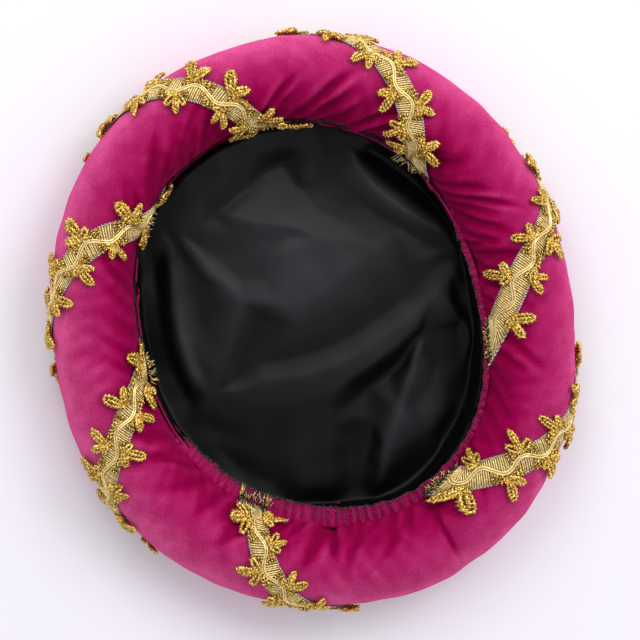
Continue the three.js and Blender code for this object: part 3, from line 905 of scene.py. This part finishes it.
# %% Metal thread finishes
def metal_finish(name, dark, light, metallic, roughness, grain_scale, grain_bump):
    material, nodes, links, shader = new_material(name)
    value = speckle(nodes, links, grain_scale, 2.0, 0.7)
    links.new(tone(nodes, links, value, [(0.38, dark), (0.60, light)]), shader.inputs["Base Color"])
    shader.inputs["Metallic"].default_value = metallic
    shader.inputs["Roughness"].default_value = roughness
    bumped(nodes, links, shader, speckle(nodes, links, grain_scale * 1.7, 1.0), grain_bump, 0.0003)
    return material


METAL_TABLE = {  # dark and light colour, metallic, roughness, scale of the grain and its bump
    "pale_gold_braid": ((0.60, 0.40, 0.11), (1.0, 0.81, 0.38), 0.45, 0.38, 900, 0.7),
    "brown_braid_ground": ((0.045, 0.024, 0.005), (0.26, 0.16, 0.05), 0.2, 0.6, 1100, 0.5),
    "silvery_edge_thread": ((0.22, 0.19, 0.14), (0.66, 0.60, 0.50), 0.4, 0.45, 1100, 0.5),
    "bright_gold_cord": ((0.74, 0.52, 0.17), (1.0, 0.82, 0.40), 0.65, 0.28, 600, 0.2),
    "gold_gimp_coil": ((0.34, 0.165, 0.014), (1.0, 0.73, 0.20), 0.85, 0.25, 720, 0.9),
    "black_overlock_thread": ((0.004, 0.004, 0.004), (0.03, 0.03, 0.032), 0.0, 0.55, 1200, 0.3),
    "magenta_pile_hair": ((0.30, 0.008, 0.10), (0.62, 0.05, 0.27), 0.0, 0.7, 1200, 0.2),
}
braid_yarn, braid_ground, edge_yarn, cord_yarn, gimp_yarn, black_thread, pink_thread = (
    metal_finish(name, *row) for name, row in METAL_TABLE.items()
)
TRIM_MATERIALS = [braid_yarn, edge_yarn, cord_yarn, gimp_yarn, black_thread, braid_ground]
BRAID, EDGE, CORD, GIMP, BLACK, GROUND = range(6)

# %% [markdown]
# ## A trim, laid flat
# The real trim is woven flat and sewn on later. We make it the same way: the whole braid is laid out
# flat, as length, width and height, and a few leaf sprays are modelled once and copied along its sides.


# %% Leaf petals and sprays
LOOP_OPEN = 0.08  # of a turn in radians, left open where a petal's loop starts and ends


def petal_path(base, angle, length, width, rise):
    """A loop of yarn that goes out along one side of a petal and back along the other."""
    turn = np.linspace(LOOP_OPEN, 2 * math.pi - LOOP_OPEN, 22)
    out = length * (0.5 - 0.5 * np.cos(turn))
    side = 0.5 * width * np.sin(turn) * (0.55 + 0.45 * (out / length))
    height = rise * np.sin(np.pi * np.clip(out / length, 0, 1) * 0.85)
    c, s = math.cos(angle), math.sin(angle)
    return np.stack([base[0] + out * s + side * c, base[1] + out * c - side * s, base[2] + height], axis=1)


SPRAYS = {  # petals: angle from straight out in degrees, length and width in mm
    "fan": [(-62, 7.4, 2.5), (-6, 10.6, 3.0), (50, 8.2, 2.5)],
    "pair": [(-30, 10.4, 3.6), (32, 9.0, 2.8), (84, 5.5, 1.8)],
    "twin": [(20, 10.6, 3.7), (-40, 8.8, 2.9)],
    "hook": [(6, 11.4, 4.0), (-48, 8.0, 2.8), (60, 5.8, 2.2)],
    "crest": [(-38, 8.4, 2.6), (8, 9.4, 2.8), (52, 7.0, 2.4), (-80, 5.4, 1.9)],
}


CORE_RADIUS, WIRE_RADIUS, COIL_RADIUS, COIL_PITCH = 0.62, 0.36, 0.74, 1.35
COIL_POINTS = 5  # in each turn of the coil


def gimp(made, line):
    """Gimp yarn: a coil of fine metal wire over a dark core."""
    made.add(*tube(line, CORE_RADIUS, 4), GROUND)
    coil = twisted(line, COIL_RADIUS, COIL_PITCH, COIL_POINTS, RNG.uniform(0, 6))
    made.add(*tube(coil, WIRE_RADIUS, 4), GIMP)


FILLED_WIDTH = 2.6  # mm, a wider petal has a line of gimp down its middle too
MIDDLE_LINE = ((0.12, 1.9), (0.45, 2.5), (0.74, 1.7))  # share of the petal's length, height in mm


def spray(kind):
    """One leaf spray whose foot is at the origin and which points along +width."""
    made = Strands()
    for degrees, length, width in SPRAYS[kind]:
        angle = math.radians(degrees)
        out = np.array([math.sin(angle), math.cos(angle)])
        gimp(made, petal_path((0, 0, 1.0), angle, length - 1.5, width, 1.0))
        if width > FILLED_WIDTH:
            gimp(made, [[*(out * length * share), rise] for share, rise in MIDDLE_LINE])
    return made


SPRAY_SHAPES = {kind: spray(kind) for kind in SPRAYS}
print("points in one spray:", {kind: made.count for kind, made in SPRAY_SHAPES.items()})


# %% The braid, laid flat
WAVE_REACH, REPEAT = 2.3, 22.0
RIBBON_STEP, RIB_STEP, RIB_RADIUS, RIB_SLANT = 1.6, 1.15, 0.42, 0.22
EDGE_REACH, EDGE_PITCH, EDGE_RADIUS = 0.34, 1.5, 0.36
CORD_RADIUS, CORD_SHIFT, CORD_HEIGHT = 0.5, 0.52, 1.45
SIDE = BRAID_WIDTH / 2


def ribbon(made, length):
    """The braid's ground: a thin closed ribbon, a little higher along its middle."""
    count = int(length / RIBBON_STEP)
    across = np.linspace(-SIDE, SIDE, 9)
    heights = 0.75 - 0.35 * (across / SIDE) ** 2
    along = np.linspace(0, length, count + 1)
    top = [[s, w, h] for s in along for w, h in zip(across, heights)]
    low = [[s, w, 0.05] for s in along for w in across]
    size, under = len(across), len(top)
    faces = []
    for a in (i * size + j for i in range(count) for j in range(size - 1)):
        b = a + under
        faces.append([a, a + 1, a + size + 1, a + size])
        faces.append([b, b + size, b + size + 1, b + 1])
    for a in range(0, count * size, size):
        b = a + size - 1
        faces.append([a, a + size, a + size + under, a + under])
        faces.append([b, b + size, b + size + under, b + under][::-1])
    for j in range(size - 1):
        a, b = j, count * size + j
        faces.append([a, a + under, a + under + 1, a + 1])
        faces.append([b, b + under, b + under + 1, b + 1][::-1])
    made.add(top + low, faces, GROUND)


def flat_braid(made, length, crest):
    """Ribbon, ribs, edge threads and the two waving cords, over the trim's length."""
    ribbon(made, length)
    rib = np.linspace(-SIDE + 0.5, SIDE - 0.5, 6)
    for s in np.arange(0.8, length - 0.6, RIB_STEP):
        slant = RIB_SLANT * rib + RNG.uniform(-0.12, 0.12)
        path = np.stack([s + slant, rib, 0.95 - 0.35 * (rib / SIDE) ** 2 + 0 * rib], axis=1)
        made.add(*tube(path, RIB_RADIUS, 4), BRAID)
    for w in (-SIDE + 0.25, SIDE - 0.25):
        path = np.stack([np.linspace(0.2, length - 0.2, 60), np.full(60, w), np.full(60, 0.6)], axis=1)
        made.add(*tube(twisted(path, EDGE_REACH, EDGE_PITCH, 5), EDGE_RADIUS, 4), EDGE)
    s = np.arange(0.3, length - 0.2, 0.55)
    wave = WAVE_REACH * np.cos((s - crest) / REPEAT * 2 * math.pi)
    slope = np.gradient(wave, s)
    for shift in (-CORD_SHIFT, CORD_SHIFT):
        off = shift / np.sqrt(1 + slope * slope)
        path = np.stack([s - off * slope, wave + off, np.full(len(s), CORD_HEIGHT)], axis=1)
        made.add(*tube(path, CORD_RADIUS, 6), CORD)


# %% Curly gimp and sprays, laid flat
CURL_REACH = 7.2  # mm along the braid, each way from a crest of the wave
SPRAY_FOOT = 1.6  # mm from the braid's edge inward to where a spray starts
END_FREE = 3  # mm before the trim's end where no spray starts


def flat_gimp(made, length, crest):
    """Curly gimp that fills the outer side of each crest of the wave."""
    for k in range(-1, int(length / REPEAT * 2) + 3):
        middle, sign = crest + k * REPEAT / 2, 1 if k % 2 == 0 else -1
        s = np.linspace(middle - CURL_REACH, middle + CURL_REACH, 40)
        s = s[(s > 0.8) & (s < length - 0.8)]
        if len(s) < 6:
            continue
        turn = np.cumsum(RNG.uniform(0.9, 1.7, len(s)))
        inner = WAVE_REACH * np.cos((s - middle) / REPEAT * 2 * math.pi) + 1.5
        outer = SIDE + RNG.uniform(-0.6, 0.5, len(s))
        w = sign * (0.5 * (inner + outer) + 0.5 * (outer - inner) * np.sin(turn))
        gimp(made, np.stack([s + 0.7 * np.cos(turn), w, CORD_HEIGHT + 0.35 * np.cos(turn * 1.9)], axis=1))


def flat_sprays(made, places, sign, length):
    """Leaf sprays along one side, each a little different."""
    kinds = list(SPRAYS)
    for s in places:
        if s > length - END_FREE:
            continue
        shape = SPRAY_SHAPES[kinds[int(RNG.integers(0, len(kinds)))]]
        turn, scale = math.radians(RNG.uniform(-16, 16)), RNG.uniform(1.02, 1.24)
        points = shape.all_points() * scale
        flip = RNG.choice([-1, 1])
        points[:, 0] *= flip
        c, t = math.cos(turn), math.sin(turn)
        x = points[:, 0] * c + points[:, 1] * t
        y = points[:, 1] * c - points[:, 0] * t
        lift = RNG.uniform(-0.2, 0.5) * np.clip(y / 6, 0, 1) ** 2
        placed = np.stack([x + s, sign * (y + SIDE - SPRAY_FOOT), points[:, 2] + lift + 0.25], axis=1)
        made.add(placed, shape.faces, GIMP)  # here the core has the wire's finish too


# %% [markdown]
# ## Winding the trims over the ring
# Each trim runs from the seam over the top of the ring to the underside. A place on the flat trim
# becomes a place on the ring: its length is measured along the route, its width sideways from it, and
# its height outwards from the velvet. So the braid keeps its real width everywhere.

# %% Routes
TRIM_TABLE = {  # azimuths at the seam, on top and outside, then the sprays' places along both sides
    "trim_1": (107, 114.3, 128.5, (4, 21, 42, 60), (13, 24, 42, 66)),
    "trim_2": (60, 69, 84, (20, 40, 62), (18, 31, 50, 74)),
    "trim_3": (-7, 15.5, 29, (18, 42, 63, 82), (38, 59, 80)),
    "trim_4": (-54, -36.3, -18, (12, 33, 55, 76), (20, 44, 67)),
    "trim_5": (-110, -103.3, -90, (10, 34, 55), (10, 24, 47, 70)),
    "trim_6": (-165, -151.2, -137.5, (12, 34, 53, 70), (22, 35, 53, 76)),
    "trim_7": (150, 158.7, 177, (8, 30, 52, 72), (19, 41, 62, 83)),
}
TRIM_END_SECTION, TRIM_RETURN = -130, 32  # the end's section angle, and degrees from outside to the end
TRIM_SECTIONS = [TRIM_END_SECTION, 10, 90, 155]  # of the end, outside, on top and at the seam
TUBE_RADIUS = 21.5  # of the ring's tube, on the average
SEAM_CLEARANCE = math.degrees((EDGE_THICK / 2 + 2 * GAP) / (ROLL_THICK / 2))


def trim_start(azimuth):
    return around(SEAM_TABLE, "section", azimuth) - SEAM_CLEARANCE


def trim_route(seam, top, outside):
    azimuths = [outside + TRIM_RETURN, outside, top, seam]
    t = np.linspace(0, 1, 500)
    section = trim_start(float(seam)) * (1 - t) + TRIM_END_SECTION * t
    azimuth = curve_through(TRIM_SECTIONS, azimuths, section)
    r, z = roll_point(azimuth, section, GAP)
    line = in_space(azimuth, r, z)
    lengths = np.concatenate([[0], np.cumsum(np.linalg.norm(np.diff(line, axis=0), axis=1))])
    tangents = np.gradient(line, axis=0)
    tangents /= np.linalg.norm(tangents, axis=1, keepdims=True)
    ring = np.stack([-np.sin(np.radians(azimuth)), np.cos(np.radians(azimuth)), 0 * azimuth], axis=1)
    return {"t": t, "azimuth": azimuth, "r": r, "length": lengths, "slant": (tangents * ring).sum(axis=1)}


def wound(route, flat):
    """Flat points (length, width, height) wound over the ring."""
    along, across, up = flat.T
    t = np.interp(along, route["length"], route["t"])
    beyond = along - route["length"][-1]
    azimuth, r = (np.interp(t, route["t"], route[key]) for key in ("azimuth", "r"))
    a = np.interp(t, route["t"], route["slant"])
    b = np.sqrt(1 - a * a)
    free = smoothstep(along, 2, 14) * smoothstep(-beyond, 2, 14)
    azimuth = azimuth + across * ((1 - free) / b + free * b) / np.radians(r)
    outward = -across * a * free
    section = trim_start(azimuth) * (1 - t) + TRIM_END_SECTION * t
    section = section - outward / (math.radians(1) * TUBE_RADIUS)
    r, z = roll_point(azimuth, section, 0.2 + up)
    return in_space(azimuth, r, np.maximum(z, 0.1))


# %% The trims' ends at the seam
YARN_ENDS = 34


def frayed_end(made):
    """Cut yarn ends at the seam, held down by black stitches."""
    for _ in range(YARN_ENDS):
        w, reach = RNG.uniform(-SIDE - 1, SIDE + 1), RNG.uniform(1.0, 3.6)
        bend, rise = RNG.uniform(-1.6, 1.6), RNG.uniform(0.1, 1.6)
        bent = [0.2 - reach * 0.3, w + bend * 0.3, 0.9 + rise * 0.5]
        path = [[1.0, w, 0.8], bent, [-reach * 0.6, w + bend, 0.8 + rise]]
        made.add(*tube(path, RNG.uniform(0.12, 0.26), 3), int(RNG.choice([BRAID, GIMP, EDGE, GIMP])))
    for w in np.arange(-SIDE - 1, SIDE + 1.2, 1.25):
        lean = RNG.uniform(-0.7, 0.7)
        over = [[-0.6, w + lean * 0.3, 1.7], [1.4, w + lean * 0.7, 1.75]]
        path = [[-1.4, w, 0.5], *over, [2.8, w + lean, 0.9]]
        made.add(*tube(path, 0.3, 4), BLACK)


def with_repeats(places, length):
    """The measured places, gone on with to the trim's end."""
    made = list(places)
    while made[-1] + REPEAT < length:
        made.append(made[-1] + REPEAT)
    return made


# %% Make the seven trims
for name, (seam, top, outside, low_side, high_side) in TRIM_TABLE.items():
    route = trim_route(seam, top, outside)
    length = float(route["length"][-1])
    made = Strands()
    crest = high_side[1]  # the wave turns toward a spray
    flat_braid(made, length, crest)
    flat_gimp(made, length, crest)
    flat_sprays(made, with_repeats(low_side, length), -1, length)
    flat_sprays(made, with_repeats(high_side, length), 1, length)
    frayed_end(made)
    trim = piece_from(name + "_gold", wound(route, made.all_points()), made.faces, TRIM_MATERIALS, made.kinds)
    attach(trim, "root")
    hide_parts(name)
    print(name, "is", round(length), "mm long and has", len(trim.data.polygons), "faces")

# %% [markdown]
# ## The overlocked seam edge
# Where the roll, the crown and the lining meet, the raw edges stand up as a narrow velvet band. Black
# overlock thread crosses it about every 2 mm and runs along its edge, and stray pile hairs stick out.
# The trims' cut yarns are caught in the same seam and stick out over it. The band is a torus whose
# small circle is pressed flat, from its root on the roll to its tip. The threads are thin tubes.

# %% Band
band, band_azimuth, band_section = new_torus("seam_band", 0.09, 0.003, 256, 8)
TUCKED_OUT, TUCKED_DOWN = 2.8, 3.5  # mm that the band moves outward and down where it is tucked away


def band_place(azimuth, reach, rise):
    """A place on the band: reach 0 at its root and 1 at its tip, rise in mm above its middle."""
    root_r, root_z, tip_r, tip_z, lean = seam_edge_at(azimuth)
    wave = 0.45 * np.sin(np.radians(47 * azimuth)) + 0.35 * np.sin(np.radians(83 * azimuth + 40))
    rise = rise + wave * np.clip(reach, 0, 1) ** 1.5
    tucked = smoothstep(tuck_at(azimuth), 0.1, 0.8)
    shown = 1.15 - 0.8 * near(azimuth, 4, 60, 4) - 0.35 * near(azimuth, 222, 34, 4)
    reach = reach * shown * (1 - 0.5 * tucked)
    root_r, tip_r = root_r + TUCKED_OUT * tucked, tip_r + TUCKED_OUT * tucked
    root_z, tip_z = root_z - TUCKED_DOWN * tucked, tip_z - TUCKED_DOWN * tucked
    r = root_r + (tip_r - root_r) * reach + rise * np.sin(lean)
    z = root_z + (tip_z - root_z) * reach + rise * np.cos(lean)
    return in_space(azimuth, r, z)


def band_lumps(around_count, waves):
    return lumps(band_azimuth, 0 * band_azimuth, around_count, 0, waves, RNG)


pulled = 0.12 * np.cos(np.radians(band_azimuth * 123)) + 0.2 * band_lumps(170, 8)
band_rise = (EDGE_THICK / 2 - 0.15 + pulled) * np.sin(band_section)
round_share = 0.5 - 0.5 * np.cos(band_section)
band_reach = -0.42 + 1.42 * round_share * (1.0 + 0.05 * band_lumps(60, 6))
move_points(band, band_place(band_azimuth, band_reach, band_rise))
dressed(band, velvet)
# The band is painted in shade, low on the velvet's scale, with one face painted lighter than the other.
set_nap_and_painted_light(band, 0.20 + 0.2 * np.sin(band_section) + 0.12 * band_lumps(200, 8))

# %% Overlock stitches
stitches = Strands()
STITCH_COUNT = 246
STITCH_REACH = np.array([0.0, 0.12, 0.4, 0.7, 0.95, 1.06, 0.95])  # from the band's root over its tip
STITCH_RISE = np.array([0.2, 1.0, 1.12, 1.12, 0.85, 0.0, -0.85])
SEAM_SHOWS = (-165, 62)  # between these azimuths the band stands up
STITCH_MATERIALS = [black_thread, pink_thread, gimp_yarn, edge_yarn]
BLACK_STITCH, HAIR, GOLD_END, SILVER_END = range(4)


def hidden_at(azimuth):
    return tuck_at(azimuth) > 0.3


for k in range(STITCH_COUNT):
    azimuth = (k + RNG.uniform(-0.12, 0.12)) * 360 / STITCH_COUNT
    if hidden_at(azimuth):
        continue
    path = band_place(azimuth + RNG.uniform(0.1, 0.7) * STITCH_REACH, STITCH_REACH, STITCH_RISE)
    stitches.add(*tube(path, RNG.uniform(0.13, 0.2), 4), BLACK_STITCH)
along = np.linspace(*SEAM_SHOWS, 640)
for phase in (0, math.pi):
    wobble = np.sin(np.radians(along * STITCH_COUNT / 2) + phase)
    stitches.add(*tube(band_place(along, 1.0 + 0.05 * wobble, 0.7 + 0.3 * wobble), 0.13, 4), BLACK_STITCH)

# %% Stray hairs of the pile
HAIR_COUNT = 1500
for _ in range(HAIR_COUNT):
    azimuth, reach = RNG.uniform(*SEAM_SHOWS), RNG.uniform(0.2, 1.05)
    size, drift = RNG.uniform(0.5, 1.5), RNG.uniform(-0.9, 0.9)
    steps = np.array([0.0, 0.5, 1.0])
    rise = 0.7 + size * steps * RNG.uniform(0.3, 1.0)
    path = band_place(azimuth + drift * steps, reach + 0.16 * size * steps, rise)
    stitches.add(*tube(path, np.array([0.11, 0.09, 0.03]), 3), HAIR)

# %% Cut ends of the trims, caught in the seam
ENDS_OVER_BAND = 30
for seam, *_ in TRIM_TABLE.values():
    for _ in range(ENDS_OVER_BAND):
        start, reach = seam + RNG.uniform(-4.4, 4.4), RNG.uniform(0.35, 1.2)
        bend, rise = RNG.uniform(-1.8, 1.8), RNG.uniform(-0.2, 1.1)
        steps = np.array([0.0, 0.35, 0.7, 1.0])
        if hidden_at(seam):
            root_r, root_z = seam_edge_at(start)[:2]
            r, z = root_r - 0.5 - 3.6 * reach * steps, root_z + 2 + (rise - 1.5) * steps
            path = in_space(start + bend * steps, r, z)
        else:
            arch = 1.5 + 0.5 * np.sin(math.pi * steps) + rise * steps
            path = band_place(start + bend * steps, reach * steps, arch)
        kind = [GOLD_END, GOLD_END, SILVER_END]
        stitches.add(*tube(path, RNG.uniform(0.18, 0.34), 3), int(RNG.choice(kind)))
    for start in np.arange(seam - 4.2, seam + 4.3, 1.05):
        bend, reach = RNG.uniform(-0.8, 0.8), RNG.uniform(0.5, 1.0)
        steps = np.array([0.0, 0.5, 1.0])
        path = band_place(start + bend * steps, reach * steps, 2.1 + 0.3 * np.sin(math.pi * steps))
        stitches.add(*tube(path, 0.26, 4), BLACK_STITCH)

# %% Finish the seam
overlock = piece_from(
    "overlock_stitches", stitches.all_points(), stitches.faces, STITCH_MATERIALS, stitches.kinds
)
for piece in (band, overlock):
    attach(piece, "root")
    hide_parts("seam_edge")
print("seam band:", len(band.data.polygons), "faces, stitches:", len(overlock.data.polygons), "faces")

# %% [markdown]
# ## Floor, light and camera
# The photograph has a plain pale surface with a faint shadow to the lower left, so the lamps and the
# brighter part of the sky stand at the back and on the right. The sky is dimmer straight overhead, so
# that the folds keep their shade. The camera looks almost straight down through a long lens.

# %% Floor
bpy.ops.object.select_all(action="DESELECT")
bpy.ops.mesh.primitive_plane_add(size=6, location=(0, 0, 0))
floor = bpy.context.object
floor.name = "pale_floor"
paper, nodes, links, shader = new_material("pale_paper")
PAPER_TONES = [(0.3, (0.80, 0.785, 0.83)), (0.7, (0.82, 0.805, 0.85))]
links.new(tone(nodes, links, speckle(nodes, links, 3), PAPER_TONES), shader.inputs["Base Color"])
shader.inputs["Roughness"].default_value = 0.95
shader.inputs["Specular IOR Level"].default_value = 0.1
floor.data.materials.append(paper)

# %% Light
world = bpy.context.scene.world or bpy.data.worlds.new("studio")
bpy.context.scene.world = world
world.use_nodes = True
sky, sky_links = world.node_tree.nodes, world.node_tree.links
direction = sky.new("ShaderNodeTexCoord").outputs["Object"]
upward, backward = (sky.new("ShaderNodeVectorMath") for _ in range(2))
dimmers = []
for node, axis, limits in (  # limits of how far a direction goes the axis' way, and the light at both
    (upward, (0, 0, 1), (0.78, 0.98, 1.0, 0.46)),
    (backward, (0.46, 0.88, 0), (-0.6, 0.6, 0.78, 1.2)),
):
    node.operation = "DOT_PRODUCT"
    node.inputs[1].default_value = axis
    sky_links.new(direction, node.inputs[0])
    dimmer = sky.new("ShaderNodeMapRange")
    for socket, value in zip(("From Min", "From Max", "To Min", "To Max"), limits):
        dimmer.inputs[socket].default_value = value
    sky_links.new(node.outputs["Value"], dimmer.inputs["Value"])
    dimmers.append(dimmer.outputs["Result"])
sky_links.new(arithmetic(sky, sky_links, "MULTIPLY", *dimmers), sky["Background"].inputs["Strength"])
sky["Background"].inputs["Color"].default_value = (0.965, 0.955, 1.0, 1)


def soft_light(name, place, size, power):
    """A round lamp that faces the hat: place and size in metres, power in watts."""
    data = bpy.data.lights.new(name, "AREA")
    data.shape, data.size, data.energy = "DISK", size, power
    light = bpy.data.objects.new(name, data)
    light.location = place
    light.rotation_euler = (-Vector(place)).to_track_quat("-Z", "Y").to_euler()
    bpy.context.collection.objects.link(light)


soft_light("key_light", (0.60, 0.66, 1.05), 0.7, 6.0)
soft_light("back_light", (-0.30, 0.85, 0.95), 0.7, 4.5)

# %% Camera
TARGET, DISTANCE, FOCAL_LENGTH = Vector((0.0018, 0.0017, 0.022)), 1.1, 125
tilt, swing = math.radians(8), math.radians(135)  # off straight down, and toward which azimuth
back = Vector((math.sin(tilt) * math.cos(swing), math.sin(tilt) * math.sin(swing), math.cos(tilt)))
right = Vector((0, 1, 0)).cross(back).normalized()
up = back.cross(right)
camera_data = bpy.data.cameras.new("camera")
camera_data.lens, camera_data.sensor_width = FOCAL_LENGTH, 36
camera = bpy.data.objects.new("camera", camera_data)
bpy.context.collection.objects.link(camera)
turned = Matrix((right, up, back)).transposed().to_4x4()
camera.matrix_world = Matrix.Translation(TARGET + DISTANCE * back) @ turned
bpy.context.scene.camera = camera
bpy.context.scene.view_settings.view_transform = "Standard"
